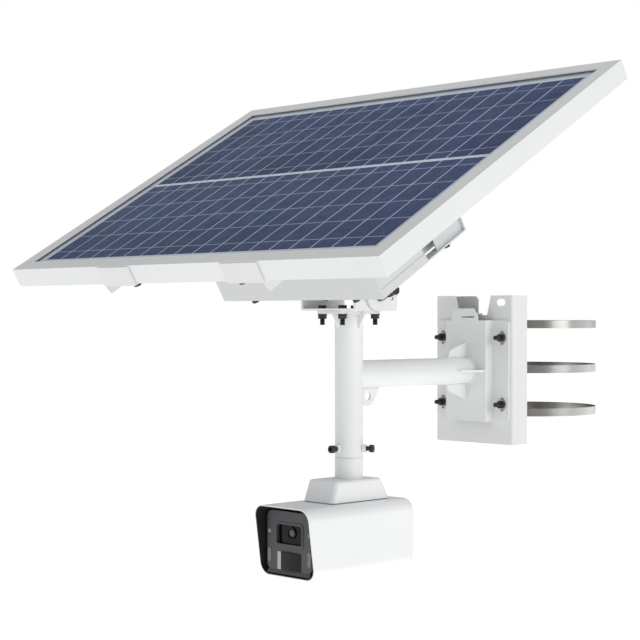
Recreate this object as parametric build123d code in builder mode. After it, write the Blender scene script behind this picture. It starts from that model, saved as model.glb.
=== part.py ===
from build123d import *
import math
import os

os.makedirs("parts", exist_ok=True)

# Millimetres. +Z is up, -Y is the way the camera looks, +Y is towards the post.
# The origin is the middle of the saddle face, where the post touches the adapter.

# ---- driving dimensions ----
tube_radius = 24.0
tube_wall = 3.0
upright_y = -360.2
upright_bottom = -139.0
flange_bottom = 102.7
flange_thickness = 5.0
fit = 0.05

adapter_half = 91.3
adapter_front = -36.0
adapter_rear = 5.5
adapter_top = 136.4
adapter_bottom = -132.4
sheet = 3.0

post_y = 125.5
strap_radius = 125.0
strap_thickness = 1.0
strap_width = 14.3
strap_heights = {"top": 84.0, "middle": 2.0, "bottom": -77.0}

plate_thickness = 4.0
web_front = -58.5
web_half = 48.5
plate_half = 85.0
plate_half_height = 91.5
bolt_x = 70.4
bolt_z = 60.0
bolt_radius = 4.0

tilt_angle = 30.4
pivot_y = -358.5
pivot_z = 136.0
pivot_drop = 231.0
pivot_lead = 9.7

panel_length = 870.4
panel_depth = 638.4
frame_height = 32.6
frame_lip = 27.0
frame_wall = 2.0
cell_columns = 18
cell_rows = 2
cell_field_length = 785.0
cell_field_depth = 554.0

tray_half = 189.0
tray_front = -115.5
tray_rear = 113.0
tray_floor = -182.0
tray_sheet = 2.5

shell_width = 128.8
shell_height = 117.0
shell_middle = -269.5
shell_corner = 20.0
shell_wall = 3.0
shell_rear = -278.5
face_front = -498.0

flange_top = flange_bottom + flange_thickness
shell_top = shell_middle + shell_height / 2
upright_axis = Plane((0, upright_y, 0))

# The panel's plane: x along its long side, y up the slope, z out of the glass.
slope = math.radians(tilt_angle)
up_slope = Vector(0, math.cos(slope), math.sin(slope))
panel_normal = Vector(0, -math.sin(slope), math.cos(slope))
pivot_point = Vector(0, pivot_y, pivot_z)
panel_middle = pivot_point + up_slope * pivot_lead + panel_normal * pivot_drop
panel_plane = Plane(panel_middle, x_dir=(1, 0, 0), z_dir=panel_normal)
normal_axis = Axis(panel_middle, panel_normal)


def side_of_panel(x):
    """A plane across the panel at x, with its own x up the slope and y along the normal."""
    return Plane(panel_middle + Vector(x, 0, 0), x_dir=up_slope, z_dir=(1, 0, 0))


def side_plane(x):
    """An upright plane at x, with its own x along +Y and y along +Z."""
    return Plane((x, 0, 0), x_dir=(0, 1, 0), z_dir=(1, 0, 0))


def front_plane(y):
    """An upright plane at y that faces -Y, with its own x along +X and y along +Z."""
    return Plane((0, y, 0), x_dir=(1, 0, 0), z_dir=(0, -1, 0))


def save(builder, node):
    builder.part.label = node
    export_step(builder.part, f"parts/{node}.step")


# ======== pole adapter and its straps ========

with BuildPart() as adapter_box:
    with BuildSketch(Plane.XY.offset(adapter_bottom)):
        with Locations((0, (adapter_front + adapter_rear) / 2)):
            Rectangle(2 * adapter_half, adapter_rear - adapter_front)
    extrude(amount=adapter_top - adapter_bottom)
    fillet(adapter_box.edges().filter_by(Axis.Z).group_by(Axis.Y)[0], 5.0)
    with BuildSketch(Plane.XY.offset(adapter_bottom)):
        with Locations((0, (adapter_front + sheet + adapter_rear) / 2)):
            Rectangle(2 * (adapter_half - sheet), adapter_rear - adapter_front - sheet)
    extrude(amount=adapter_top - adapter_bottom, mode=Mode.SUBTRACT)
    # notch in the top edge, hand hole beside it, and the bolt holes
    with BuildSketch(front_plane(adapter_front)):
        Polygon((-45, 137), (41, 137), (32, 101), (-35, 101), align=None)
        with Locations((63.4, 123.9)):
            SlotOverall(22, 13)
        with GridLocations(2 * bolt_x, 2 * bolt_z, 2, 2):
            Circle(bolt_radius + 0.3)
    extrude(amount=-sheet, mode=Mode.SUBTRACT)
save(adapter_box, "adapter_box")

saddle_thickness = 3.0
slot_near = 18.0
slot_far = 36.0
with BuildPart() as saddle_plate:
    with BuildSketch(front_plane(-saddle_thickness)):
        with Locations((0, -10)):
            Rectangle(2 * (adapter_half - sheet) - 0.2, 220)
        Polygon(
            (-adapter_half + sheet + 0.1, 90),
            (-17.5, 90),
            (-17.5, 130),
            (-23, 136),
            (-adapter_half + sheet + 0.1, 136),
            align=None,
        )
        for strap_z in strap_heights.values():
            for side in (-1, 1):
                with Locations((side * (slot_near + slot_far) / 2, strap_z)):
                    Rectangle(slot_far - slot_near, strap_width + 4, mode=Mode.SUBTRACT)
        with GridLocations(2 * bolt_x, 2 * bolt_z, 2, 2):
            Circle(9.0, mode=Mode.SUBTRACT)
    extrude(amount=-saddle_thickness)
save(saddle_plate, "saddle_plate")

# Each strap is a round band that dips through the saddle plate's slots.
leave_x = 45.0
leave_y = post_y - math.sqrt(strap_radius**2 - leave_x**2)
chord_x = 25.0
chord_y = -saddle_thickness - 2.0
leave_angle = math.degrees(math.atan2(leave_y - post_y, leave_x))
for strap_name, strap_z in strap_heights.items():
    with BuildPart() as strap:
        with BuildSketch(Plane.XY.offset(strap_z - strap_width / 2)) as band:
            with BuildLine():
                CenterArc((0, post_y), strap_radius, leave_angle, 180 - 2 * leave_angle)
                Polyline((-leave_x, leave_y), (-chord_x, chord_y), (chord_x, chord_y), (leave_x, leave_y))
            make_face()
            offset(amount=strap_thickness / 2)
            offset(amount=-strap_thickness, mode=Mode.SUBTRACT)
        extrude(amount=strap_width)
    save(strap, f"strap_{strap_name}")

# Worm-drive buckles on the side of the bands, each with its screw.
buckle_x = -strap_radius - strap_thickness / 2
with BuildPart() as strap_buckles:
    for strap_z in strap_heights.values():
        with BuildSketch(front_plane(post_y - 13)):
            with Locations((buckle_x - 5.5, strap_z)):
                RectangleRounded(9.6, strap_width + 2, 2.0)
                Circle(3.55, mode=Mode.SUBTRACT)
        extrude(amount=-26)
save(strap_buckles, "strap_buckles")

with BuildPart() as strap_screws:
    for strap_z in strap_heights.values():
        with BuildSketch(front_plane(post_y - 13)):
            with Locations((buckle_x - 5.5, strap_z)):
                Circle(3.5)
        extrude(amount=-26)
        with BuildSketch(front_plane(post_y - 13.1)):
            with Locations((buckle_x - 5.5, strap_z)):
                RegularPolygon(4.6, 6)
        extrude(amount=6)
        with BuildSketch(front_plane(post_y - 13)):
            with Locations((buckle_x - 5.5, strap_z)):
                Circle(3.5)
        extrude(amount=0.2)
save(strap_screws, "strap_screws")

# ======== arm plate, arm and upright ========

flange_front = adapter_front - plate_thickness
hook_gap = adapter_front + sheet + 0.2
trim = 1.0
with BuildPart() as arm_plate:
    with BuildSketch(Plane.XY.offset(-plate_half_height - trim)):
        with BuildLine():
            Polyline(
                (-plate_half - trim, adapter_front),
                (-plate_half - trim, flange_front),
                (-web_half, flange_front),
                (-web_half, web_front),
                (web_half, web_front),
                (web_half, flange_front),
                (plate_half + trim, flange_front),
                (plate_half + trim, adapter_front),
                (web_half - plate_thickness, adapter_front),
                (web_half - plate_thickness, web_front + plate_thickness),
                (plate_thickness - web_half, web_front + plate_thickness),
                (plate_thickness - web_half, adapter_front),
                close=True,
            )
        make_face()
    extrude(amount=2 * (plate_half_height + trim))
    outer_bends = arm_plate.edges().filter_by(Axis.Z).group_by(Axis.Y)[0]
    fillet(outer_bends, 3.0)
    with BuildSketch(front_plane(adapter_front + trim)):
        RectangleRounded(2 * plate_half, 2 * plate_half_height, 8)
    extrude(amount=adapter_front - web_front + 2 * trim, mode=Mode.INTERSECT)
    # hook that hangs over the lower edge of the adapter's notch
    with BuildSketch(front_plane(web_front)):
        Polygon((-30, 85), (30, 85), (30, 100), (20, 113), (-24, 113), (-30, 107), align=None)
        with Locations((8, 97.5)):
            Rectangle(30, 2.6, mode=Mode.SUBTRACT)
    extrude(amount=plate_thickness)
    with BuildSketch(side_plane(-16)):
        Polygon(
            (web_front - 2, 101.4),
            (hook_gap, 101.4),
            (hook_gap, 93),
            (hook_gap + 3, 93),
            (hook_gap + 3, 104.4),
            (web_front - 2, 104.4),
            align=None,
        )
    extrude(amount=32)
    with BuildSketch(front_plane(flange_front)):
        with GridLocations(2 * bolt_x, 2 * bolt_z, 2, 2):
            SlotOverall(25, 9, rotation=90)
    extrude(amount=-plate_thickness, mode=Mode.SUBTRACT)
save(arm_plate, "arm_plate")

rib_thickness = 4.0
rib_tip = web_front - 51
rib_root = tube_radius + 0.1
tall_rib = [(web_front, rib_root), (web_front, 52), (-104, 36.4), (rib_tip, rib_root)]
short_rib = [(web_front, rib_root), (web_front, 45), (-104, 30), (rib_tip, rib_root)]
with BuildPart() as arm_ribs:
    for turn, outline in {0: tall_rib, 90: short_rib, 180: tall_rib, 270: short_rib}.items():
        rib_plane = side_plane(0).rotated((0, turn, 0))
        with BuildSketch(rib_plane.offset(-rib_thickness / 2)):
            Polygon(*outline, align=None)
        extrude(amount=rib_thickness)
save(arm_ribs, "arm_ribs")

with BuildPart() as arm_tube:
    with BuildSketch(front_plane(web_front)):
        Circle(tube_radius)
        Circle(tube_radius - tube_wall, mode=Mode.SUBTRACT)
    extrude(amount=web_front - upright_y)
    with BuildSketch(upright_axis.offset(-2 * tube_radius)):
        Circle(tube_radius + fit)
    extrude(amount=4 * tube_radius, mode=Mode.SUBTRACT)
save(arm_tube, "arm_tube")

clamp_z = -124.0
clamp_angles = (-90, 30, 150)
with BuildPart() as upright_tube:
    with BuildSketch(upright_axis.offset(upright_bottom)):
        Circle(tube_radius)
        Circle(tube_radius - tube_wall, mode=Mode.SUBTRACT)
    extrude(amount=flange_bottom - upright_bottom)
    with BuildSketch(front_plane(upright_y)):
        Circle(12)
    extrude(amount=-1.5 * tube_radius, mode=Mode.SUBTRACT)
    for angle in clamp_angles:
        outward = Vector(1, 0, 0).rotate(Axis.Z, angle)
        with BuildSketch(Plane((0, upright_y, clamp_z), z_dir=outward)):
            Circle(bolt_radius + fit)
        extrude(amount=1.5 * tube_radius, mode=Mode.SUBTRACT)
save(upright_tube, "upright_tube")

flange_bolt_x = 48.0
flange_bolt_y = 78.0
with BuildPart() as top_flange:
    with BuildSketch(upright_axis.offset(flange_bottom)):
        RectangleRounded(62, 98, 8)
        Circle(15, mode=Mode.SUBTRACT)
        with GridLocations(flange_bolt_x, flange_bolt_y, 2, 2):
            Circle(bolt_radius + fit, mode=Mode.SUBTRACT)
    extrude(amount=flange_thickness)
save(top_flange, "top_flange")

with BuildPart() as flange_gussets:
    for turn in (0, 90, 180, 270):
        gusset_foot = Plane((0, upright_y, flange_bottom), x_dir=(1, 0, 0), z_dir=(0, -1, 0))
        gusset_plane = gusset_foot.rotated((0, 0, turn))
        with BuildSketch(gusset_plane.offset(-2)):
            Polygon(
                (tube_radius + 0.1, 0),
                (tube_radius + 14, 0),
                (tube_radius + 14, -2),
                (tube_radius + 2, -24),
                (tube_radius + 0.1, -24),
                align=None,
            )
        extrude(amount=4)
save(flange_gussets, "flange_gussets")

eye_y = -316.0
eye_z = -37.5
eye_radius = 7.5
with BuildPart() as safety_lug:
    with BuildSketch(side_plane(-2.5)):
        Polygon(
            (upright_y + tube_radius + 0.2, -tube_radius - 0.1),
            (eye_y + 28, -tube_radius - 0.1),
            (eye_y + 13, eye_z - 11),
            (eye_y - 13, eye_z - 11),
            (upright_y + tube_radius + 0.2, eye_z - 6),
            align=None,
        )
        with Locations((eye_y, eye_z)):
            Circle(17)
            Circle(eye_radius, mode=Mode.SUBTRACT)
    extrude(amount=5)
    split(bisect_by=Plane((0, 0, -tube_radius - 0.1)), keep=Keep.BOTTOM)
save(safety_lug, "safety_lug")

# Three clamp screws in welded nuts hold the drop tube at any turn.
with BuildPart() as clamp_nuts:
    for angle in clamp_angles:
        outward = Vector(1, 0, 0).rotate(Axis.Z, angle)
        nut_foot = Vector(0, upright_y, clamp_z) + outward * (tube_radius + 0.1)
        with BuildSketch(Plane(nut_foot, z_dir=outward)):
            RegularPolygon(7.5, 6)
            Circle(bolt_radius + fit, mode=Mode.SUBTRACT)
        extrude(amount=6.5)
save(clamp_nuts, "clamp_nuts")

with BuildPart() as clamp_screws:
    for angle in clamp_angles:
        outward = Vector(1, 0, 0).rotate(Axis.Z, angle)
        screw_axis = Plane(Vector(0, upright_y, clamp_z), z_dir=outward)
        with BuildSketch(screw_axis.offset(tube_radius - tube_wall + 0.3)):
            Circle(bolt_radius)
        extrude(amount=16)
        with BuildSketch(screw_axis.offset(tube_radius + 12.5)):
            Circle(6.5)
        extrude(amount=7)
        with BuildSketch(screw_axis.offset(tube_radius + 16)):
            RegularPolygon(3.4, 6)
        extrude(amount=4, mode=Mode.SUBTRACT)
save(clamp_screws, "clamp_screws")

# Studs that clamp the arm plate on the adapter, from inside to outside.
with BuildPart() as plate_bolts:
    with BuildSketch(front_plane(adapter_front + sheet)):
        with GridLocations(2 * bolt_x, 2 * bolt_z, 2, 2):
            Circle(8.5)
    extrude(amount=-5)
    fillet(plate_bolts.edges().filter_by(GeomType.CIRCLE).group_by(Axis.Y)[-1], 3.0)
    with BuildSketch(front_plane(adapter_front + sheet)):
        with GridLocations(2 * bolt_x, 2 * bolt_z, 2, 2):
            Circle(bolt_radius)
    extrude(amount=sheet + plate_thickness + 21)
    chamfer(plate_bolts.edges().filter_by(GeomType.CIRCLE).group_by(Axis.Y)[0], 0.8)
save(plate_bolts, "plate_bolts")

with BuildPart() as plate_washers:
    with BuildSketch(front_plane(flange_front)):
        with GridLocations(2 * bolt_x, 2 * bolt_z, 2, 2):
            Circle(9.5)
            Circle(bolt_radius + fit, mode=Mode.SUBTRACT)
    extrude(amount=1.6)
save(plate_washers, "plate_washers")

with BuildPart() as plate_nuts:
    with BuildSketch(front_plane(flange_front - 1.6)):
        with GridLocations(2 * bolt_x, 2 * bolt_z, 2, 2):
            RegularPolygon(7.5, 6)
            Circle(bolt_radius + fit, mode=Mode.SUBTRACT)
    extrude(amount=6.5)
save(plate_nuts, "plate_nuts")

# ======== yoke that turns on the top flange ========

yoke_half = 64.3
yoke_sheet = 4.0
yoke_front = upright_y - 50.4
yoke_rear = upright_y + 50.2
yoke_floor = flange_top
pan_limit = 10.0
lock_reach = 36.0
lock_angle = 9.7
tilt_low = -20.0
tilt_high = 25.0
pivot_radius = 6.0
lock_radius = 4.0
slot_gap = 0.4
tilt_arc = Edge.make_circle(
    lock_reach,
    start_angle=lock_angle + tilt_low,
    end_angle=lock_angle + tilt_high,
)
bolt_circle = math.hypot(flange_bolt_x / 2, flange_bolt_y / 2)
bolt_bearing = math.degrees(math.atan2(flange_bolt_y, flange_bolt_x))

with BuildPart() as tilt_yoke:
    with BuildSketch(Plane.XY.offset(yoke_floor)):
        with Locations((0, (yoke_front + yoke_rear) / 2)):
            Rectangle(2 * yoke_half, yoke_rear - yoke_front)
        with Locations((0, upright_y)):
            Circle(13, mode=Mode.SUBTRACT)
    extrude(amount=yoke_sheet)
    for bearing in (bolt_bearing, 180 - bolt_bearing, 180 + bolt_bearing, -bolt_bearing):
        pan_arc = Edge.make_circle(
            bolt_circle,
            start_angle=bearing - pan_limit,
            end_angle=bearing + pan_limit,
        )
        with BuildSketch(upright_axis.offset(yoke_floor)):
            SlotArc(pan_arc, 2 * (bolt_radius + slot_gap))
        extrude(amount=yoke_sheet, mode=Mode.SUBTRACT)
    for cheek_x in (-yoke_half, yoke_half - yoke_sheet):
        with BuildSketch(side_plane(cheek_x)):
            Polygon(
                (yoke_front, yoke_floor),
                (yoke_front, yoke_floor + 17),
                (pivot_y - 28, pivot_z + 28),
                (pivot_y, pivot_z + 40),
                (pivot_y + 30, pivot_z + 27),
                (yoke_rear, pivot_z + 16),
                (yoke_rear, yoke_floor),
                align=None,
            )
            with Locations((pivot_y, pivot_z)):
                Circle(39.5)
            with Locations((pivot_y, yoke_floor - 10)):
                Rectangle(120, 20, mode=Mode.SUBTRACT)
            with Locations((pivot_y, pivot_z)):
                Circle(pivot_radius + fit, mode=Mode.SUBTRACT)
        extrude(amount=yoke_sheet)
        with BuildSketch(side_plane(cheek_x)):
            with Locations((pivot_y, pivot_z)):
                SlotArc(tilt_arc, 2 * (lock_radius + slot_gap))
        extrude(amount=yoke_sheet, mode=Mode.SUBTRACT)
    low_corners = tilt_yoke.edges().filter_by(Axis.X).group_by(Axis.Z)[0].sort_by(Axis.Y)
    fillet([low_corners[0], low_corners[-1]], 3.5)
save(tilt_yoke, "tilt_yoke")

head_seat = 0.15
with BuildPart() as flange_bolts:
    with BuildSketch(upright_axis.offset(yoke_floor + yoke_sheet + head_seat)):
        with GridLocations(flange_bolt_x, flange_bolt_y, 2, 2):
            RegularPolygon(7.5, 6)
    extrude(amount=5.5)
    with BuildSketch(upright_axis.offset(yoke_floor + yoke_sheet + head_seat)):
        with GridLocations(flange_bolt_x, flange_bolt_y, 2, 2):
            Circle(bolt_radius)
    extrude(amount=-yoke_sheet - flange_thickness - 9)
save(flange_bolts, "flange_bolts")

with BuildPart() as flange_nuts:
    with BuildSketch(upright_axis.offset(flange_bottom)):
        with GridLocations(flange_bolt_x, flange_bolt_y, 2, 2):
            Circle(8.0)
            Circle(bolt_radius + fit, mode=Mode.SUBTRACT)
    extrude(amount=-1.6)
    with BuildSketch(upright_axis.offset(flange_bottom - 1.6)):
        with GridLocations(flange_bolt_x, flange_bolt_y, 2, 2):
            RegularPolygon(7.5, 6)
            Circle(bolt_radius + fit, mode=Mode.SUBTRACT)
    extrude(amount=-6.5)
save(flange_nuts, "flange_nuts")

# ======== ears and their bolts, which tilt with the panel ========

washer_gap = 1.6
ear_sheet = 4.5
ear_inner = yoke_half + washer_gap
ear_outer = ear_inner + ear_sheet
pivot_along = -pivot_lead
pivot_below = -pivot_drop
lock_along = pivot_along + lock_reach * math.cos(math.radians(lock_angle - tilt_angle))
lock_below = pivot_below + lock_reach * math.sin(math.radians(lock_angle - tilt_angle))

bar_spots = (-45.5, 4.5)
bar_width = 25.0
ear_bolt_x = 86.0
with BuildPart() as tilt_ears:
    for ear_x in (-ear_outer, ear_inner):
        with BuildSketch(side_of_panel(ear_x)):
            Polygon(
                (-58, tray_floor),
                (-58, tray_floor - 8),
                (pivot_along - 28, pivot_below + 4),
                (pivot_along, pivot_below),
                (lock_along + 11, lock_below + 2),
                (lock_along + 6, tray_floor - 8),
                (17, tray_floor),
                align=None,
            )
            with Locations((pivot_along, pivot_below)):
                Circle(28.5)
            with Locations((lock_along, lock_below)):
                Circle(12)
            with Locations((pivot_along, pivot_below)):
                Circle(pivot_radius + fit, mode=Mode.SUBTRACT)
            with Locations((lock_along, lock_below)):
                Circle(lock_radius + fit, mode=Mode.SUBTRACT)
        extrude(amount=ear_sheet)
    for side in (-1, 1):
        with BuildSketch(panel_plane.offset(tray_floor)):
            with Locations((side * (ear_outer + 14.8), -20.5)):
                Rectangle(29.6, 75)
            for bar_y in bar_spots:
                with Locations((side * ear_bolt_x, bar_y)):
                    Circle(3.05, mode=Mode.SUBTRACT)
        extrude(amount=-3)
save(tilt_ears, "tilt_ears")

with BuildPart() as friction_washers:
    for washer_x in (-ear_inner, yoke_half + 0.1):
        with BuildSketch(side_of_panel(washer_x)):
            with Locations((pivot_along, pivot_below)):
                Circle(16)
                Circle(pivot_radius + fit, mode=Mode.SUBTRACT)
        extrude(amount=washer_gap - 0.1)
save(friction_washers, "friction_washers")

head_gap = 0.1
nut_seat = yoke_half - yoke_sheet - head_gap
with BuildPart() as pivot_bolts:
    for side in (-1, 1):
        outer_face = side_of_panel(side * ear_outer)
        with BuildSketch(outer_face):
            with Locations((pivot_along, pivot_below)):
                Circle(12)
        extrude(amount=side * 2)
        with BuildSketch(side_of_panel(side * (ear_outer + 2))):
            with Locations((pivot_along, pivot_below)):
                RegularPolygon(10.8, 6)
        extrude(amount=side * 7.5)
        with BuildSketch(outer_face):
            with Locations((pivot_along, pivot_below)):
                Circle(pivot_radius)
        extrude(amount=side * -26)
save(pivot_bolts, "pivot_bolts")

with BuildPart() as lock_bolts:
    for side in (-1, 1):
        outer_face = side_of_panel(side * ear_outer)
        with BuildSketch(outer_face):
            with Locations((lock_along, lock_below)):
                RegularPolygon(7.5, 6)
        extrude(amount=side * 5.5)
        with BuildSketch(outer_face):
            with Locations((lock_along, lock_below)):
                Circle(lock_radius)
        extrude(amount=side * -21)
save(lock_bolts, "lock_bolts")

with BuildPart() as tilt_nuts:
    for side in (-1, 1):
        with BuildSketch(side_of_panel(side * nut_seat)):
            with Locations((pivot_along, pivot_below)):
                RegularPolygon(10.8, 6)
                Circle(pivot_radius + fit, mode=Mode.SUBTRACT)
            with Locations((lock_along, lock_below)):
                RegularPolygon(7.5, 6)
                Circle(lock_radius + fit, mode=Mode.SUBTRACT)
        extrude(amount=side * -7)
save(tilt_nuts, "tilt_nuts")

# ======== battery tray, battery box and panel rails ========

floor_plane = panel_plane.offset(tray_floor)
tray_middle = (tray_front + tray_rear) / 2
tray_depth = tray_rear - tray_front
side_edge_width = 18.0
window_start = 8.0
window_end = 39.0
with BuildPart() as battery_tray:
    with BuildSketch(floor_plane):
        with Locations((0, tray_middle)):
            Rectangle(2 * tray_half, tray_depth)
            Rectangle(2 * (tray_half - side_edge_width), tray_depth - 43, mode=Mode.SUBTRACT)
        for bar_y in bar_spots:
            with Locations((0, bar_y)):
                Rectangle(2 * tray_half - 2, bar_width)
            with Locations((-ear_bolt_x, bar_y), (ear_bolt_x, bar_y)):
                Circle(3.05, mode=Mode.SUBTRACT)
    extrude(amount=tray_sheet)
    with BuildSketch(floor_plane):
        with Locations((0, tray_front + tray_sheet / 2)):
            Rectangle(2 * tray_half, tray_sheet)
    extrude(amount=62)
    with BuildSketch(floor_plane):
        with Locations((0, tray_rear - tray_sheet / 2)):
            Rectangle(2 * tray_half, tray_sheet)
    extrude(amount=32)
    for side in (-1, 1):
        # front part of the side wall, with a fold line near its foot and a sloped end
        with BuildSketch(side_of_panel(side * tray_half)):
            Polygon(
                (tray_front, tray_floor),
                (window_start, tray_floor),
                (window_start - 14, tray_floor + 52),
                (tray_front, tray_floor + 52),
                align=None,
            )
        extrude(amount=-side * tray_sheet)
        with BuildSketch(side_of_panel(side * (tray_half - 0.8))):
            Polygon(
                (tray_front + 4, tray_floor + 15),
                (window_start, tray_floor + 15),
                (window_start, tray_floor + 17),
                (tray_front + 4, tray_floor + 17),
                align=None,
            )
        extrude(amount=side * tray_sheet, mode=Mode.SUBTRACT)
        # set-back rear part of the side wall
        with BuildSketch(floor_plane):
            with Locations((side * 182.2, (window_end + tray_rear) / 2)):
                Rectangle(tray_sheet, tray_rear - window_end)
        extrude(amount=32)
save(battery_tray, "battery_tray")

case_half = 165.0
case_depth = 184.0
case_floor = tray_floor + tray_sheet
case_top = -62.0
case_wall = 3.0
case_plane = panel_plane.offset(case_floor)
with BuildPart() as battery_case:
    with BuildSketch(case_plane):
        RectangleRounded(2 * case_half, case_depth, 12)
    extrude(amount=case_top - case_floor)
    with BuildSketch(case_plane.offset(case_wall)):
        RectangleRounded(2 * (case_half - case_wall), case_depth - 2 * case_wall, 9)
    extrude(amount=case_top - case_floor - case_wall, mode=Mode.SUBTRACT)
    with BuildSketch(side_of_panel(case_half - 2 * case_wall)):
        with Locations((60, -120)):
            Circle(8.05)
    extrude(amount=3 * case_wall, mode=Mode.SUBTRACT)
save(battery_case, "battery_case")

with BuildPart() as battery_lid:
    with BuildSketch(panel_plane.offset(case_top)):
        RectangleRounded(2 * case_half + 4, case_depth + 4, 14)
    extrude(amount=8)
    fillet(battery_lid.faces().sort_by(normal_axis)[-1].edges(), 2.0)
save(battery_lid, "battery_lid")

with BuildPart() as battery_gland:
    with BuildSketch(side_of_panel(case_half)):
        with Locations((60, -120)):
            RegularPolygon(12, 6)
    extrude(amount=5)
    with BuildSketch(side_of_panel(case_half - case_wall - 4)):
        with Locations((60, -120)):
            Circle(8)
    extrude(amount=case_wall + 16)
    with BuildSketch(side_of_panel(case_half - case_wall - 5)):
        with Locations((60, -120)):
            Circle(3.5)
    extrude(amount=case_wall + 18, mode=Mode.SUBTRACT)
save(battery_gland, "battery_gland")

with BuildPart() as battery_cells:
    with BuildSketch(case_plane.offset(case_wall + 1)):
        with GridLocations(78, 84, 4, 2):
            RectangleRounded(74, 80, 6)
    extrude(amount=70)
save(battery_cells, "battery_cells")

with BuildPart() as charge_controller:
    with BuildSketch(case_plane.offset(case_wall + 78)):
        Rectangle(150, 100)
    extrude(amount=1.6)
    with BuildSketch(case_plane.offset(case_wall + 79.6)):
        with Locations((-40, 20), (40, 20)):
            Rectangle(28, 28)
        with Locations((-40, -28), (0, -28), (40, -28)):
            Circle(9)
    extrude(amount=14)
save(charge_controller, "charge_controller")

# Bolts under the tray: two through the front edge, two through each side edge.
with BuildPart() as tray_bolts:
    spots = [(-120, -106), (120, -106), (-176, 70), (176, 70), (-180, -90), (180, -90)]
    with BuildSketch(floor_plane):
        with Locations(spots):
            RegularPolygon(6.4, 6)
    extrude(amount=-7.5)
    with BuildSketch(floor_plane.offset(tray_sheet)):
        with Locations(spots):
            Circle(4.4)
    extrude(amount=4)
save(tray_bolts, "tray_bolts")

rail_inner = 110.0
rail_outer = 192.0
rail_sheet = 2.5
rail_top = -frame_height
for rail_name, side in {"left": -1, "right": 1}.items():
    rail_middle = side * (rail_inner + rail_outer) / 2
    rail_width = rail_outer - rail_inner
    half_depth = panel_depth / 2
    with BuildPart() as rail:
        with BuildSketch(panel_plane.offset(rail_top - rail_sheet)):
            with Locations((rail_middle, -rail_sheet / 2)):
                Rectangle(rail_width, panel_depth + rail_sheet)
        extrude(amount=rail_sheet)
        with BuildSketch(panel_plane.offset(rail_top)):
            with Locations((rail_middle, -half_depth - rail_sheet / 2)):
                Rectangle(rail_width, rail_sheet)
        extrude(amount=frame_height - 1.5)
        with BuildSketch(side_of_panel(side * rail_outer)):
            Polygon(
                (-half_depth - rail_sheet, rail_top),
                (-half_depth + 2.5, rail_top - 18.5),
                (-half_depth + 66, rail_top - 17),
                (-122, -122),
                (-100, -146),
                (100, -146),
                (150, -60),
                (half_depth - 8, -50),
                (half_depth, rail_top),
                align=None,
            )
        extrude(amount=-side * rail_sheet)
    save(rail, f"rail_{rail_name}")

with BuildPart() as rail_bolts:
    head_spots = [(-127, -306), (127, -306), (-127, 306), (127, 306)]
    with BuildSketch(panel_plane.offset(rail_top - rail_sheet)):
        with Locations(head_spots):
            RegularPolygon(6.4, 6)
    extrude(amount=-8)
    for side in (-1, 1):
        with BuildSketch(side_of_panel(side * rail_outer)):
            with Locations((-85, -138), (-5, -138)):
                RegularPolygon(6.4, 6)
        extrude(amount=side * 5)
save(rail_bolts, "rail_bolts")

# ======== solar panel ========

ledge_width = 12.0
glass_top = -frame_wall
glass_thickness = 3.2
cell_thickness = 0.5
backsheet_thickness = 0.5
laminate_bottom = glass_top - glass_thickness - cell_thickness - backsheet_thickness


frame_rings = [
    (0, -frame_wall, frame_lip),
    (0, -frame_height, frame_wall),
    (laminate_bottom, laminate_bottom - 1.8, ledge_width),
    (frame_wall - frame_height, -frame_height, 25),
]
with BuildPart() as frame_ring:
    for ring_top, ring_bottom, ring_width in frame_rings:
        with BuildSketch(panel_plane.offset(ring_bottom)):
            Rectangle(panel_length, panel_depth)
            Rectangle(panel_length - 2 * ring_width, panel_depth - 2 * ring_width, mode=Mode.SUBTRACT)
        extrude(amount=ring_top - ring_bottom)

# The four extrusions meet at mitred corners.
half_x = panel_length / 2
half_y = panel_depth / 2
mitre_x = half_x - 60
mitre_y = half_y - 60
frame_corners = {
    "front": [(-half_x, -half_y), (half_x, -half_y), (mitre_x, -mitre_y), (-mitre_x, -mitre_y)],
    "back": [(-half_x, half_y), (half_x, half_y), (mitre_x, mitre_y), (-mitre_x, mitre_y)],
    "left": [(-half_x, -half_y), (-mitre_x, -mitre_y), (-mitre_x, mitre_y), (-half_x, half_y)],
    "right": [(half_x, -half_y), (mitre_x, -mitre_y), (mitre_x, mitre_y), (half_x, half_y)],
}
for frame_name, corners in frame_corners.items():
    with BuildPart() as frame_member:
        add(frame_ring.part)
        with BuildSketch(panel_plane.offset(-frame_height - 1)):
            Polygon(*corners, align=None)
        extrude(amount=frame_height + 2, mode=Mode.INTERSECT)
    save(frame_member, f"frame_{frame_name}")

glass_length = panel_length - 2 * frame_wall - 1
glass_depth = panel_depth - 2 * frame_wall - 1
with BuildPart() as panel_glass:
    with BuildSketch(panel_plane.offset(glass_top - glass_thickness)):
        Rectangle(glass_length, glass_depth)
    extrude(amount=glass_thickness)
save(panel_glass, "panel_glass")

cell_pitch_x = cell_field_length / cell_columns
cell_pitch_y = cell_field_depth / cell_rows
with BuildPart() as solar_cells:
    with BuildSketch(panel_plane.offset(glass_top - glass_thickness - cell_thickness)):
        with GridLocations(cell_pitch_x, cell_pitch_y, cell_columns, cell_rows):
            Rectangle(cell_pitch_x - 1.4, cell_pitch_y - 3.0)
    extrude(amount=cell_thickness)
save(solar_cells, "solar_cells")

with BuildPart() as panel_backsheet:
    with BuildSketch(panel_plane.offset(laminate_bottom)):
        Rectangle(glass_length, glass_depth)
    extrude(amount=backsheet_thickness)
save(panel_backsheet, "panel_backsheet")

with BuildPart() as panel_junction_box:
    with BuildSketch(panel_plane.offset(laminate_bottom)):
        with Locations((0, 215)):
            RectangleRounded(110, 70, 6)
    extrude(amount=-22)
    fillet(panel_junction_box.faces().sort_by(normal_axis)[0].edges(), 2.0)
save(panel_junction_box, "panel_junction_box")

# ======== drop tube and mount cover of the camera head ========

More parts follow.
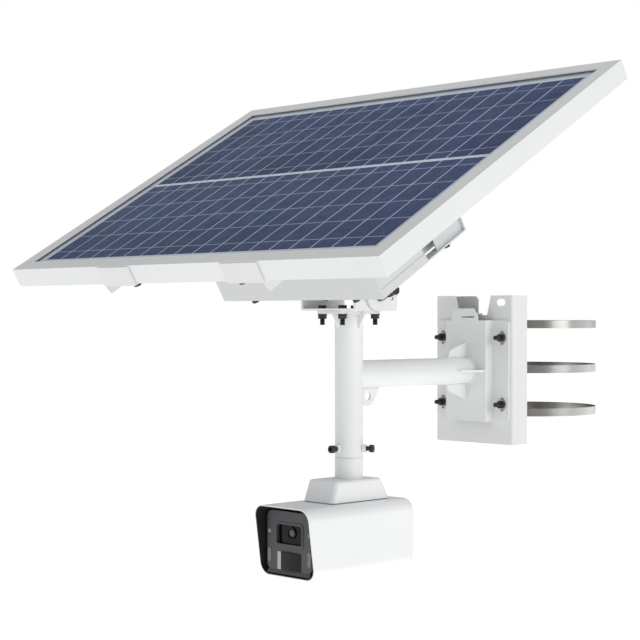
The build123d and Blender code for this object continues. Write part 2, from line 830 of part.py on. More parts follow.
cover_base = shell_top + 1.2
cover_top = -174.6
spigot_top = -60.0
spigot_radius = tube_radius - tube_wall - fit
spigot_bore = 17.0
with BuildPart() as drop_tube:
    with BuildSketch(upright_axis.offset(shell_top)):
        RectangleRounded(54, 90, 6)
    extrude(amount=4)
    with BuildSketch(upright_axis.offset(shell_top + 4)):
        Circle(tube_radius)
    extrude(amount=upright_bottom - 0.5 - shell_top - 4)
    with BuildSketch(upright_axis.offset(upright_bottom - 0.5)):
        Circle(spigot_radius)
    extrude(amount=spigot_top - upright_bottom + 0.5)
    with BuildSketch(upright_axis.offset(shell_top)):
        Circle(spigot_bore)
    extrude(amount=spigot_top - shell_top, mode=Mode.SUBTRACT)
save(drop_tube, "drop_tube")

cover_middle = -365.5
cover_shift = -3.5
with BuildPart() as mount_cover:
    with BuildSketch(Plane((0, cover_middle, cover_base))):
        RectangleRounded(74, 138, 9)
    with BuildSketch(Plane((0, cover_middle + cover_shift, cover_top))):
        RectangleRounded(72, 105, 9)
    loft()
    fillet(mount_cover.faces().sort_by(Axis.Z)[-1].edges(), 5.0)
    with BuildSketch(Plane((0, cover_middle, cover_base))):
        RectangleRounded(68, 130, 6)
    with BuildSketch(Plane((0, cover_middle + cover_shift, cover_top - 4))):
        RectangleRounded(64, 97, 6)
    loft(mode=Mode.SUBTRACT)
    with BuildSketch(upright_axis.offset(cover_top - 10)):
        Circle(tube_radius + fit)
    extrude(amount=20, mode=Mode.SUBTRACT)
save(mount_cover, "mount_cover")

with BuildPart() as cover_gasket:
    with BuildSketch(Plane((0, cover_middle, shell_top))):
        RectangleRounded(71, 135, 7.5)
        RectangleRounded(60, 124, 4, mode=Mode.SUBTRACT)
    extrude(amount=cover_base - shell_top)
save(cover_gasket, "cover_gasket")

# ======== camera head ========

rim_point = (0, -509.8, shell_middle)
rim_lean = 8.0
rim_normal = (0, -math.cos(math.radians(rim_lean)), -math.sin(math.radians(rim_lean)))
shell_front = -535.0


def head_plane(y):
    """Section plane of the camera head at y, facing forward."""
    return Plane((0, y, shell_middle), x_dir=(1, 0, 0), z_dir=(0, -1, 0))


with BuildPart() as camera_shell:
    with BuildSketch(head_plane(shell_rear)):
        RectangleRounded(shell_width, shell_height, shell_corner)
    extrude(amount=shell_rear - shell_front)
    with BuildSketch(head_plane(shell_rear)):
        RectangleRounded(
            shell_width - 2 * shell_wall,
            shell_height - 2 * shell_wall,
            shell_corner - shell_wall,
        )
    extrude(amount=shell_rear - shell_front, mode=Mode.SUBTRACT)
    split(bisect_by=Plane(rim_point, z_dir=rim_normal), keep=Keep.BOTTOM)
    with BuildSketch(upright_axis.offset(shell_top - 2 * shell_wall)):
        Circle(spigot_bore)
    extrude(amount=4 * shell_wall, mode=Mode.SUBTRACT)
save(camera_shell, "camera_shell")

cap_rear = -263.5
with BuildPart() as rear_cap:
    with BuildSketch(head_plane(cap_rear)):
        RectangleRounded(shell_width, shell_height, shell_corner)
    extrude(amount=cap_rear - shell_rear)
    fillet(rear_cap.faces().sort_by(Axis.Y)[-1].edges(), 11.0)
    with BuildSketch(head_plane(shell_rear)):
        RectangleRounded(118, 106, 15)
    extrude(amount=4)
    with BuildSketch(head_plane(shell_rear - 4)):
        RectangleRounded(104, 92, 10)
    extrude(amount=-15, mode=Mode.SUBTRACT)
save(rear_cap, "rear_cap")

core_width = 106.0
core_height = 98.0
core_front = face_front + 6.5
core_rear = shell_rear - 4
with BuildPart() as camera_core:
    with BuildSketch(head_plane(core_rear)):
        RectangleRounded(core_width, core_height, 12)
    extrude(amount=core_rear - core_front)
    with BuildSketch(head_plane(core_rear - 4)):
        RectangleRounded(core_width - 7, core_height - 7, 9)
    extrude(amount=core_rear - 4 - core_front, mode=Mode.SUBTRACT)
save(camera_core, "camera_core")

window_z = 11.5
pir_z = -32.0
lamp_x = 47.5
lamp_z = 14.5
flood_z = -24.5
lens_z = 14.0
lens_hole = 11.0
with BuildPart() as face_plate:
    with BuildSketch(head_plane(core_front)):
        RectangleRounded(core_width, core_height, 12)
    extrude(amount=core_front - face_front)
    with BuildSketch(head_plane(face_front)):
        with Locations((0, window_z)):
            RectangleRounded(66, 39, 6)
    extrude(amount=1.2)
    with BuildSketch(head_plane(face_front - 2)):
        with Locations((0, window_z)):
            RectangleRounded(59, 32, 4)
    extrude(amount=-9, mode=Mode.SUBTRACT)
    with BuildSketch(head_plane(face_front)):
        with Locations((0, lens_z)):
            Circle(lens_hole)
        with Locations((-lamp_x, lamp_z), (lamp_x, lamp_z)):
            Circle(3.8)
        with Locations((-lamp_x, flood_z), (lamp_x, flood_z)):
            SlotOverall(25, 8.5, rotation=90)
        with Locations((0, pir_z)):
            Rectangle(57.4, 29.4)
    extrude(amount=-8, mode=Mode.SUBTRACT)
    with BuildSketch(side_plane(-50)):
        Polygon(
            (core_front, shell_middle - core_height / 2),
            (face_front, shell_middle - core_height / 2 + 2.2),
            (face_front - 3, shell_middle - core_height / 2 - 4.5),
            (core_front, shell_middle - core_height / 2 - 4.5),
            align=None,
        )
    extrude(amount=100)
save(face_plate, "face_plate")

with BuildPart() as lens_window:
    with BuildSketch(head_plane(face_front + 6.5)):
        with Locations((0, window_z)):
            RectangleRounded(58.8, 31.8, 3.9)
        with Locations((0, lens_z)):
            Circle(lens_hole - 0.4, mode=Mode.SUBTRACT)
    extrude(amount=1.5)
save(lens_window, "lens_window")

barrel_front = face_front + 2.5
barrel_rear = face_front + 34
with BuildPart() as lens_barrel:
    with BuildSketch(head_plane(barrel_rear)):
        with Locations((0, lens_z)):
            Circle(lens_hole - 0.5)
            Circle(7.5, mode=Mode.SUBTRACT)
    extrude(amount=barrel_rear - barrel_front)
    chamfer(lens_barrel.edges().filter_by(GeomType.CIRCLE).group_by(Axis.Y)[0].sort_by(SortBy.RADIUS)[0], 1.8)
save(lens_barrel, "lens_barrel")

glass_rear = face_front + 9
with BuildPart() as lens_glass:
    with BuildSketch(head_plane(glass_rear)):
        with Locations((0, lens_z)):
            Circle(7.4)
    extrude(amount=4)
    fillet(lens_glass.edges().filter_by(GeomType.CIRCLE).group_by(Axis.Y)[0], 3.0)
save(lens_glass, "lens_glass")

with BuildPart() as spot_lamps:
    with BuildSketch(head_plane(core_front)):
        with Locations((-lamp_x, lamp_z), (lamp_x, lamp_z)):
            Circle(3.7)
    extrude(amount=core_front - face_front + 1)
    fillet(spot_lamps.edges().filter_by(GeomType.CIRCLE).group_by(Axis.Y)[0], 0.9)
save(spot_lamps, "spot_lamps")

with BuildPart() as flood_lamps:
    with BuildSketch(head_plane(core_front)):
        with Locations((-lamp_x, flood_z), (lamp_x, flood_z)):
            SlotOverall(24.8, 8.3, rotation=90)
    extrude(amount=core_front - face_front + 1)
    fillet(flood_lamps.faces().sort_by(Axis.Y)[0].edges(), 0.9)
save(flood_lamps, "flood_lamps")

# The motion sensor's lens bulges about an upright axis.
with BuildPart() as pir_lens:
    with BuildSketch(Plane.XY.offset(shell_middle + pir_z - 14.5)):
        with BuildLine():
            Polyline((-28.5, face_front), (-28.5, core_front), (28.5, core_front), (28.5, face_front))
            ThreePointArc((28.5, face_front), (0, face_front - 3), (-28.5, face_front))
        make_face()
    extrude(amount=29)
save(pir_lens, "pir_lens")

filter_y = barrel_rear + 3
with BuildPart() as ir_cut_filter:
    with BuildSketch(head_plane(filter_y)):
        with Locations((4.5, lens_z)):
            Rectangle(24, 12)
    extrude(amount=1.2)
save(ir_cut_filter, "ir_cut_filter")

with BuildPart() as circuit_boards:
    with BuildSketch(head_plane(filter_y + 4)):
        with Locations((0, 2)):
            Rectangle(70, 62)
    extrude(amount=-1.6)
    with BuildSketch(head_plane(filter_y + 4)):
        with Locations((0, lens_z)):
            Rectangle(14, 11)
    extrude(amount=1.4)
    with BuildSketch(Plane((0, -380, shell_middle - 36))):
        Rectangle(84, 130)
    extrude(amount=1.6)
    with BuildSketch(Plane((0, -380, shell_middle - 34.4))):
        with Locations((-18, 20), (20, 24), (0, -30)):
            Rectangle(26, 26)
    extrude(amount=5)
save(circuit_boards, "circuit_boards")
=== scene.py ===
import math

import bpy
from mathutils import Matrix, Vector


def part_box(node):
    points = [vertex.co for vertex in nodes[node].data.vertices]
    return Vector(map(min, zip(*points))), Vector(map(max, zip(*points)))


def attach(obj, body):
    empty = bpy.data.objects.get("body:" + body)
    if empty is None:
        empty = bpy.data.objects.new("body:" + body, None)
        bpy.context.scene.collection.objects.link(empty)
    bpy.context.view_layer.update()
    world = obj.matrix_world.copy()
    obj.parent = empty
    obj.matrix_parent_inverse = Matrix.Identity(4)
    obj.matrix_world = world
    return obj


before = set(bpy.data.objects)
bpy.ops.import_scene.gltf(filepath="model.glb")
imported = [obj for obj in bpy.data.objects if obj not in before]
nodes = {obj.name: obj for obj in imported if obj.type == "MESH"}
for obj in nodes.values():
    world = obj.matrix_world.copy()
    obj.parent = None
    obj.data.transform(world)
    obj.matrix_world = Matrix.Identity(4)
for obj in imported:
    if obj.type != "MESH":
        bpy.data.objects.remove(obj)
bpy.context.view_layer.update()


class Wire:
    # one socket; the operators below add the Math nodes that work on it
    def __init__(self, sheet, socket):
        self.sheet = sheet
        self.socket = socket

    def maths(self, operation, other=None, swap=False):
        inputs = {0: self}
        if other is not None:
            inputs = {0: other, 1: self} if swap else {0: self, 1: other}
        return self.sheet.node("ShaderNodeMath", {"operation": operation}, inputs)

    def __add__(self, other):
        return self.maths("ADD", other)

    def __radd__(self, other):
        return self.maths("ADD", other)

    def __sub__(self, other):
        return self.maths("SUBTRACT", other)

    def __rsub__(self, other):
        return self.maths("SUBTRACT", other, swap=True)

    def __mul__(self, other):
        return self.maths("MULTIPLY", other)

    def __rmul__(self, other):
        return self.maths("MULTIPLY", other)

    def __truediv__(self, other):
        return self.maths("DIVIDE", other)

    def below(self, other):
        return self.maths("LESS_THAN", other)

    def above(self, other):
        return self.maths("GREATER_THAN", other)

    def size(self):
        return self.maths("ABSOLUTE")

    def whole(self):
        return self.maths("FLOOR")

    def part(self):
        return self.maths("FRACT")

    def atLeast(self, other):
        return self.maths("MAXIMUM", other)

    def atMost(self, other):
        return self.maths("MINIMUM", other)


class Sheet:
    # one material and the nodes on it
    def __init__(self, name):
        self.material = bpy.data.materials.new(name)
        self.material.use_nodes = True
        self.tree = self.material.node_tree
        self.shader = self.tree.nodes["Principled BSDF"]
        self.place = self.node("ShaderNodeTexCoord", {}, {}, "Object")

    def node(self, kind, settings, inputs, output=0):
        made = self.tree.nodes.new(kind)
        for key, value in settings.items():
            if key == "stops":
                for stop, (position, colour) in zip(self.rampStops(made, len(value)), value):
                    stop.position = position
                    stop.color = (*colour, 1)
            else:
                setattr(made, key, value)
        for key, value in inputs.items():
            self.feed(made.inputs[key], value)
        return Wire(self, made.outputs[output])

    def rampStops(self, ramp, count):
        elements = ramp.color_ramp.elements
        while len(elements) < count:
            elements.new(0.5)
        return elements

    def feed(self, socket, value):
        if isinstance(value, Wire):
            self.tree.links.new(value.socket, socket)
        elif isinstance(value, tuple) and len(value) == 3 and socket.type == "RGBA":
            socket.default_value = (*value, 1)
        else:
            socket.default_value = value

    def axes(self):
        split = self.node("ShaderNodeSeparateXYZ", {}, {0: self.place})
        outputs = split.socket.node.outputs
        return [Wire(self, outputs[i]) for i in range(3)]

    def noise(self, scale, detail=4.0, roughness=0.5, stretch=(1, 1, 1)):
        moved = self.node("ShaderNodeMapping", {}, {"Vector": self.place, "Scale": stretch})
        return self.node("ShaderNodeTexNoise", {},
                         {"Vector": moved, "Scale": scale, "Detail": detail, "Roughness": roughness})

    def blendColours(self, factor, first, second):
        return self.node("ShaderNodeMix", {"data_type": "RGBA"}, {0: factor, 6: first, 7: second}, 2)

    def bump(self, height, strength, distance):
        return self.node("ShaderNodeBump", {}, {"Height": height, "Strength": strength, "Distance": distance})

    def finish(self, **values):
        names = {"colour": "Base Color", "roughness": "Roughness", "metal": "Metallic", "normal": "Normal",
                 "alpha": "Alpha", "coat": "Coat Weight", "coatRoughness": "Coat Roughness",
                 "glow": "Emission Color", "glowStrength": "Emission Strength",
                 "specular": "Specular IOR Level"}
        for key, value in values.items():
            self.feed(self.shader.inputs[names[key]], value)
        return self.material


def powderCoat(name, colour, rough=0.42, speckle=0.012):
    paint = Sheet(name)
    peel = paint.noise(420.0, 3.0)
    cloud = paint.noise(9.0, 4.0)
    dust = paint.noise(60.0, 6.0, 0.7)
    shade = tuple(channel * (1 - 6 * speckle) for channel in colour)
    tone = paint.blendColours(cloud * 0.6 + dust * 0.4, shade, colour)
    return paint.finish(colour=tone, roughness=rough + 0.12 * cloud, coat=0.18, coatRoughness=0.25,
                        normal=paint.bump(peel, 0.18, 0.0004))


def darkPlating(name, colour=(0.035, 0.035, 0.037)):
    steel = Sheet(name)
    grain = steel.noise(900.0, 3.0)
    wear = steel.noise(240.0, 5.0, 0.65)
    bright = wear.maths("POWER", 5.0)
    tone = steel.blendColours(bright, colour, (0.42, 0.41, 0.39))
    return steel.finish(colour=tone, metal=0.85, roughness=0.34 + 0.2 * grain,
                        normal=steel.bump(grain, 0.25, 0.0002))


bandSizes = {"poleY": 0.1255, "slotsPerRadian": 60.0, "slotShare": 0.38, "slotsLeftOf": 0.09,
             "slotReach": 0.075}


def polishedBand():
    steel = Sheet("polished band steel")
    x, y, _ = steel.axes()
    fromPole = y - bandSizes["poleY"]
    streak = steel.noise(70.0, 5.0, 0.6, (1, 1, 26))
    turn = steel.node("ShaderNodeMath", {"operation": "ARCTAN2"}, {0: x, 1: fromPole})
    # painted reflection: light and dark bands by angle round the pole stand in for the lamps' reflections in
    # the polished steel
    paintedReflection = steel.node("ShaderNodeValToRGB", {"stops": [
        (0.0, (0.05, 0.05, 0.048)), (0.10, (0.30, 0.29, 0.27)), (0.20, (0.85, 0.84, 0.82)),
        (0.30, (0.22, 0.21, 0.195)), (0.42, (0.10, 0.095, 0.085)), (0.50, (0.42, 0.41, 0.39)),
        (0.60, (0.12, 0.115, 0.105)), (0.72, (0.80, 0.79, 0.77)), (0.86, (0.20, 0.19, 0.18)),
        (1.0, (0.05, 0.05, 0.048))]}, {0: turn / (2 * math.pi) + 0.5})
    tone = steel.blendColours(streak * 0.35, paintedReflection, (0.50, 0.49, 0.46))
    # the worm's slots near the buckles, painted near-black as painted shade in the slot holes, and bumped in
    tooth = (turn * bandSizes["slotsPerRadian"]).part()
    slotZone = (x + bandSizes["slotsLeftOf"]).below(0.0) * fromPole.size().below(bandSizes["slotReach"])
    groove = tooth.below(bandSizes["slotShare"]) * slotZone
    tone = steel.blendColours(groove, tone, (0.05, 0.05, 0.05))
    return steel.finish(colour=tone, metal=1.0, roughness=0.16 + 0.16 * streak,
                        normal=steel.bump(streak - groove * 2.0, 0.2, 0.0003))


def anodisedFrame():
    metal = Sheet("white anodised frame")
    brush = metal.noise(120.0, 4.0, 0.6, (0.4, 12, 12))
    cloud = metal.noise(5.0, 3.0)
    tone = metal.blendColours(cloud, (0.72, 0.735, 0.74), (0.80, 0.81, 0.815))
    return metal.finish(colour=tone, metal=0.08, roughness=0.36 + 0.12 * brush, coat=0.25, coatRoughness=0.3,
                        normal=metal.bump(brush, 0.08, 0.0003))


panelSizes = {
    "middle": (0.0, -0.46696, 0.34014),
    "slope": math.radians(30.4),
    "pitchAcross": 0.785 / 18,
    "rowDepth": 0.277,
    "barPitch": 0.0554,
    "barWidth": 0.0016,
    "gridWidth": 0.0026,
    "columnsLeft": 9.0,       # columns of cells on the left half
    "barsPerCell": 2.5,
    "crystalScale": 70.0,
    "fingerPitch": 0.0021,
    "fingerShare": 0.12,
    "seamHalf": 0.0042,       # half of the white gap between the two rows
}


def siliconCells():
    cells = Sheet("polycrystalline cells")
    x, y, z = cells.axes()
    middle = panelSizes["middle"]
    along = (y - middle[1]) * math.cos(panelSizes["slope"]) + (z - middle[2]) * math.sin(panelSizes["slope"])
    column = (x / panelSizes["pitchAcross"] + panelSizes["columnsLeft"]).whole()
    barPlace = (along + panelSizes["rowDepth"]) / panelSizes["barPitch"]
    cellRow = (barPlace / panelSizes["barsPerCell"]).whole()
    tile = cells.node("ShaderNodeCombineXYZ", {}, {0: column, 1: cellRow, 2: 0.0})
    tileShade = cells.node("ShaderNodeTexWhiteNoise", {}, {0: tile})
    crystal = cells.node("ShaderNodeTexVoronoi", {},
                         {"Vector": cells.place, "Scale": panelSizes["crystalScale"]}, "Color")
    crystalShade = cells.node("ShaderNodeSeparateColor", {}, {0: crystal})
    drift = cells.noise(2.2, 2.0)
    deep = cells.blendColours(tileShade, (0.006, 0.017, 0.092), (0.012, 0.030, 0.135))
    grainy = cells.blendColours(crystalShade * 0.40, deep, (0.018, 0.048, 0.19))
    leftward = (0.25 - x * 0.9).atLeast(0.0).atMost(1.0)    # paler towards the left end
    paler = cells.blendColours(leftward * drift, grainy, (0.045, 0.085, 0.15))
    bar = (barPlace.part() - 0.5).size().below(0.5 * panelSizes["barWidth"] / panelSizes["barPitch"])
    columnEdge = ((x / panelSizes["pitchAcross"]).part() - 0.5).size()
    grid = columnEdge.above(0.5 - 0.5 * panelSizes["gridWidth"] / panelSizes["pitchAcross"])
    finger = (along / panelSizes["fingerPitch"]).part().below(panelSizes["fingerShare"])
    printed = cells.blendColours(finger * 0.10, paler, (0.35, 0.40, 0.50))
    barred = cells.blendColours(bar, printed, (0.40, 0.50, 0.66))
    lined = cells.blendColours(grid, barred, (0.50, 0.60, 0.76))
    seam = along.size().below(panelSizes["seamHalf"])
    tone = cells.blendColours(seam, lined, (0.78, 0.84, 0.92))
    return cells.finish(colour=tone, roughness=0.42 + 0.15 * crystalShade, metal=0.0, specular=0.22,
                        normal=cells.bump(crystalShade, 0.05, 0.0002))


def temperedGlass():
    glass = Sheet("tempered glass")
    ripple = glass.noise(35.0, 2.0)
    return glass.finish(colour=(0.55, 0.70, 0.95), alpha=0.035 + 0.02 * ripple,
                        roughness=0.06 + 0.05 * ripple, normal=glass.bump(ripple, 0.02, 0.0003))


def matte(name, dark, light, scale=300.0, rough=0.5, bumpStrength=0.2, gloss=0.0, shine=0.5):
    plastic = Sheet(name)
    texture = plastic.noise(scale, 4.0)
    cloud = plastic.noise(14.0, 3.0)
    tone = plastic.blendColours(cloud, dark, light)
    return plastic.finish(colour=tone, roughness=rough + 0.12 * texture, coat=gloss, specular=shine,
                          normal=plastic.bump(texture, bumpStrength, 0.0002))


hoodSizes = {"halfWidth": 0.0444, "halfHeight": 0.0385, "middle": -0.2695, "between": 0.0185}


def hoodEnamel():
    # white outside; inside the hood near-black, painted shade for the recess round the face
    hood = Sheet("hood enamel")
    x, _, z = hood.axes()
    sideways = (x.size() - hoodSizes["halfWidth"]).atLeast(0.0)
    upright = ((z - hoodSizes["middle"]).size() - hoodSizes["halfHeight"]).atLeast(0.0)
    away = (sideways * sideways + upright * upright).maths("SQRT")
    inside = away.below(hoodSizes["between"])
    peel = hood.noise(500.0, 2.0)
    cloud = hood.noise(7.0, 3.0)
    white = hood.blendColours(cloud, (0.80, 0.81, 0.815), (0.86, 0.865, 0.87))
    # painted shade: near-black inside the hood
    tone = hood.blendColours(inside, white, (0.012, 0.012, 0.013))
    return hood.finish(colour=tone, roughness=0.30 + 0.35 * inside + 0.06 * cloud, coat=0.25,
                       coatRoughness=0.2, normal=hood.bump(peel, 0.12, 0.0002))


domeSizes = {"left": -0.0285, "ribPitch": 0.0038, "highlightWidth": 0.010}


def sensorDome():
    # dark ribbed window with a painted highlight, a pale strip at its left edge where the lens catches the
    # light
    dome = Sheet("sensor dome")
    fromLeft = dome.axes()[0] - domeSizes["left"]
    rib = ((fromLeft / domeSizes["ribPitch"]).part() - 0.5).size()
    # painted highlight: the pale strip along the left edge
    light = fromLeft.below(domeSizes["highlightWidth"])
    cloud = dome.noise(90.0, 2.0)
    dark = dome.blendColours(cloud, (0.004, 0.004, 0.005), (0.010, 0.010, 0.012))
    tone = dome.blendColours(light * 0.75, dark, (0.60, 0.61, 0.62))
    return dome.finish(colour=tone, roughness=0.30 + 0.1 * cloud, specular=0.25,
                       normal=dome.bump(rib, 0.25, 0.0006))


coatingSizes = {"middleZ": -0.2555, "radius": 0.0078}


def coatedLens():
    lens = Sheet("coated lens")
    x, _, z = lens.axes()
    rise = z - coatingSizes["middleZ"]
    away = (x * x + rise * rise).maths("SQRT")
    # painted reflection: dark centre with purple and green rings, the lens coating's reflections painted into
    # the colour
    tone = lens.node("ShaderNodeValToRGB", {"stops": [
        (0.0, (0.001, 0.001, 0.002)), (0.45, (0.004, 0.006, 0.02)),
        (0.75, (0.05, 0.025, 0.09)), (1.0, (0.01, 0.03, 0.03))]}, {0: away / coatingSizes["radius"]})
    return lens.finish(colour=tone, roughness=0.03 + 0.02 * lens.noise(200.0), coat=1.0, coatRoughness=0.02)


lampSizes = {"facetsPerMetre": 700.0, "shade": 0.35}


def lampLens(name, tone):
    # small square facets, brightest at their corners
    lamp = Sheet(name)
    x, _, z = lamp.axes()
    facets = lampSizes["facetsPerMetre"]
    ring = ((z * facets).part() - 0.5).size() * ((x * facets).part() - 0.5).size()
    shade = lamp.blendColours(ring * 4.0, tuple(channel * lampSizes["shade"] for channel in tone), tone)
    return lamp.finish(colour=shade, roughness=0.12 + 0.1 * ring, coat=0.8, coatRoughness=0.05,
                       normal=lamp.bump(ring, 0.4, 0.0005))


def circuitBoard():
    board = Sheet("circuit board")
    trace = board.noise(160.0, 1.0)
    line = (trace - 0.5).size().below(0.02)
    tone = board.blendColours(line, (0.01, 0.10, 0.045), (0.06, 0.28, 0.12))
    return board.finish(colour=tone, roughness=0.4 + 0.1 * trace)


print("materials")
steelPaint = powderCoat("white powder coat", (0.76, 0.77, 0.765))
armPaint = powderCoat("arm powder coat", (0.80, 0.81, 0.81), 0.36)
trayPaint = powderCoat("tray powder coat", (0.62, 0.63, 0.63), 0.5)
housingPaint = powderCoat("housing enamel", (0.84, 0.845, 0.85), 0.32, 0.006)
fastener = darkPlating("dark plated steel")
zinc = darkPlating("zinc plated steel", (0.42, 0.42, 0.41))
band = polishedBand()
frameMetal = anodisedFrame()
cellFinish = siliconCells()
glassFinish = temperedGlass()
sheetWhite = matte("white backsheet", (0.60, 0.65, 0.72), (0.68, 0.72, 0.78), 200.0, 0.45)
blackPlastic = matte("black moulded plastic", (0.012, 0.012, 0.012), (0.022, 0.022, 0.022), 400.0, 0.55)
boxPlastic = matte("battery box plastic", (0.48, 0.49, 0.49), (0.56, 0.57, 0.57), 500.0, 0.5)
cellWrap = matte("cell wrap", (0.02, 0.07, 0.28), (0.03, 0.10, 0.36), 60.0, 0.3, 0.05, 0.4)
rubber = matte("black rubber", (0.010, 0.010, 0.010), (0.020, 0.020, 0.020), 300.0, 0.75)
innerBlack = matte("matte black housing", (0.008, 0.008, 0.008), (0.016, 0.016, 0.016), 260.0, 0.7)
bezel = matte("dark grey face", (0.058, 0.061, 0.064), (0.078, 0.081, 0.085), 700.0, 0.42, 0.25, 0.1, 0.4)
windowBlack = matte("black window", (0.002, 0.002, 0.003), (0.004, 0.004, 0.005), 20.0, 0.10, 0.0, 0.0, 0.18)
lampClear = lampLens("clear lamp lens", (0.42, 0.44, 0.46))
floodClear = lampLens("flood lamp lens", (0.20, 0.21, 0.22))

finishes = {
    steelPaint: ["adapter_box", "arm_plate", "tilt_yoke", "tilt_ears", "rail_left", "rail_right",
                 "top_flange"],
    armPaint: ["arm_ribs", "arm_tube", "upright_tube", "flange_gussets", "safety_lug", "drop_tube",
               "clamp_nuts"],
    trayPaint: ["battery_tray", "saddle_plate"],
    housingPaint: ["mount_cover", "rear_cap"],
    hoodEnamel(): ["camera_shell"],
    fastener: ["strap_screws", "clamp_screws", "plate_bolts", "plate_nuts", "flange_bolts", "flange_nuts",
               "pivot_bolts", "lock_bolts", "tilt_nuts", "tray_bolts", "rail_bolts"],
    zinc: ["plate_washers", "friction_washers", "strap_buckles"],
    band: ["strap_top", "strap_middle", "strap_bottom"],
    frameMetal: ["frame_front", "frame_back", "frame_left", "frame_right"],
    glassFinish: ["panel_glass"],
    cellFinish: ["solar_cells"],
    sheetWhite: ["panel_backsheet"],
    blackPlastic: ["panel_junction_box", "battery_gland"],
    boxPlastic: ["battery_case", "battery_lid"],
    cellWrap: ["battery_cells"],
    circuitBoard(): ["charge_controller", "circuit_boards"],
    rubber: ["cover_gasket"],
    innerBlack: ["camera_core", "lens_barrel"],
    bezel: ["face_plate"],
    windowBlack: ["lens_window"],
    coatedLens(): ["lens_glass", "ir_cut_filter"],
    lampClear: ["spot_lamps"],
    floodClear: ["flood_lamps"],
    sensorDome(): ["pir_lens"],
}
for material, names in finishes.items():
    for name in names:
        piece = nodes[name]
        piece.data.materials.clear()
        piece.data.materials.append(material)


def deselectAll():
    if bpy.context.object and bpy.context.object.mode != "OBJECT":
        bpy.ops.object.mode_set(mode="OBJECT")
    bpy.ops.object.select_all(action="DESELECT")


def pick(piece):
    deselectAll()
    piece.select_set(True)
    bpy.context.view_layer.objects.active = piece


def newest(name):
    piece = bpy.context.object
    piece.name = name
    return piece


def editFaces(piece, test, *steps):
    # select the faces that pass the test, then run the steps on them in edit mode
    pick(piece)
    bpy.ops.object.mode_set(mode="EDIT")
    bpy.ops.mesh.select_mode(type="FACE")
    bpy.ops.mesh.select_all(action="DESELECT")
    bpy.ops.object.mode_set(mode="OBJECT")
    for face in piece.data.polygons:
        face.select = test(face.center, face.normal)
    bpy.ops.object.mode_set(mode="EDIT")
    for step in steps:
        step()
    bpy.ops.object.mode_set(mode="OBJECT")


def bevelled(piece, width, segments=2, angle=35):
    rounding = piece.modifiers.new("edge rounding", "BEVEL")
    rounding.width = width
    rounding.segments = segments
    rounding.limit_method = "ANGLE"
    rounding.angle_limit = math.radians(angle)
    pick(piece)
    bpy.ops.object.modifier_apply(modifier=rounding.name)


def settle(piece, body, material):
    pick(piece)
    bpy.ops.object.transform_apply(location=True, rotation=True, scale=True)
    bpy.ops.object.shade_smooth_by_angle(angle=math.radians(35))
    piece.data.materials.clear()
    piece.data.materials.append(material)
    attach(piece, body)
    return piece


def copyTo(piece, name, matrix):
    twin = piece.copy()
    twin.data = piece.data.copy()
    twin.name = name
    bpy.context.collection.objects.link(twin)
    twin.data.transform(matrix)
    return twin


def middleOf(node):
    low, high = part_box(node)
    return (Vector(low) + Vector(high)) / 2


# weld beads round the tubes
weldSizes = {"ringRadius": 0.0248, "beadRadius": 0.0019, "ripples": 46, "rippleDepth": 0.00035,
             "back": 0.0006}    # the ring sits this far back from the tube's end


def weldRing(name, centre, turn):
    bpy.ops.mesh.primitive_torus_add(major_radius=weldSizes["ringRadius"],
                                     minor_radius=weldSizes["beadRadius"],
                                     major_segments=184, minor_segments=10, location=(0, 0, 0))
    ring = newest(name)
    for point in ring.data.vertices:
        around = math.atan2(point.co.y, point.co.x)
        flat = Vector((point.co.x, point.co.y, 0)).normalized() * weldSizes["ringRadius"]
        outward = (point.co - flat).normalized()
        point.co += outward * weldSizes["rippleDepth"] * math.cos(around * weldSizes["ripples"])
    ring.matrix_world = Matrix.Translation(centre) @ turn
    return settle(ring, "wall_mount", armPaint)


deselectAll()
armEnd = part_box("arm_tube")[1][1]
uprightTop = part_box("upright_tube")[1][2]
uprightMiddle = middleOf("upright_tube")
quarterTurn = Matrix.Rotation(math.radians(90), 4, "X")
halfTurn = Matrix.Rotation(math.radians(180), 4, "X")
weldRing("arm_weld", Vector((0, armEnd - weldSizes["back"], 0)), quarterTurn)
weldRing("flange_weld", Vector((0, uprightMiddle.y, uprightTop - weldSizes["back"])), Matrix.Identity(4))
print("welds")

# threads on the free ends of the bolts
threadSizes = {"radius": 0.00425, "root": 0.0037, "pitch": 0.00125, "turns": 8, "startDepth": 0.0002,
               "past": 0.0004, "plateX": 0.0704, "plateZ": 0.060, "flangeX": 0.024, "flangeY": 0.039}
corners = [(-1, -1), (-1, 1), (1, -1), (1, 1)]


def threadRod(name):
    # a stack of ridges, made from one cylinder by extruding and scaling its top
    bpy.ops.mesh.primitive_cylinder_add(vertices=28, radius=threadSizes["root"],
                                        depth=threadSizes["startDepth"], location=(0, 0, 0))
    rod = newest(name)
    stepUp = threadSizes["pitch"] / 2

    def grow(scale):
        bpy.ops.mesh.extrude_region_move(TRANSFORM_OT_translate={"value": (0, 0, stepUp)})
        bpy.ops.transform.resize(value=(scale, scale, 1))

    widen = threadSizes["radius"] / threadSizes["root"]
    steps = []
    for turn in range(threadSizes["turns"]):
        steps.append(lambda: grow(widen))
        steps.append(lambda: grow(1 / widen))
    editFaces(rod, lambda centre, normal: normal.z > 0.9, *steps)
    pick(rod)
    bpy.ops.object.transform_apply(location=True, rotation=True, scale=True)
    return rod


master = threadRod("thread_master")
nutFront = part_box("plate_nuts")[0][1]
for number, (side, up) in enumerate(corners):
    place = (side * threadSizes["plateX"], nutFront - threadSizes["past"], up * threadSizes["plateZ"])
    toFront = Matrix.Translation(place) @ quarterTurn
    settle(copyTo(master, f"plate_thread_{number}", toFront), "wall_mount", fastener)
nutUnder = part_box("flange_nuts")[0][2]
for number, (side, ahead) in enumerate(corners):
    place = (side * threadSizes["flangeX"], uprightMiddle.y + ahead * threadSizes["flangeY"],
             nutUnder - threadSizes["past"])
    downward = Matrix.Translation(place) @ halfTurn
    thread = copyTo(master, f"flange_thread_{number}", downward)
    settle(thread, "wall_mount", fastener)
bpy.data.objects.remove(master)
print("threads")

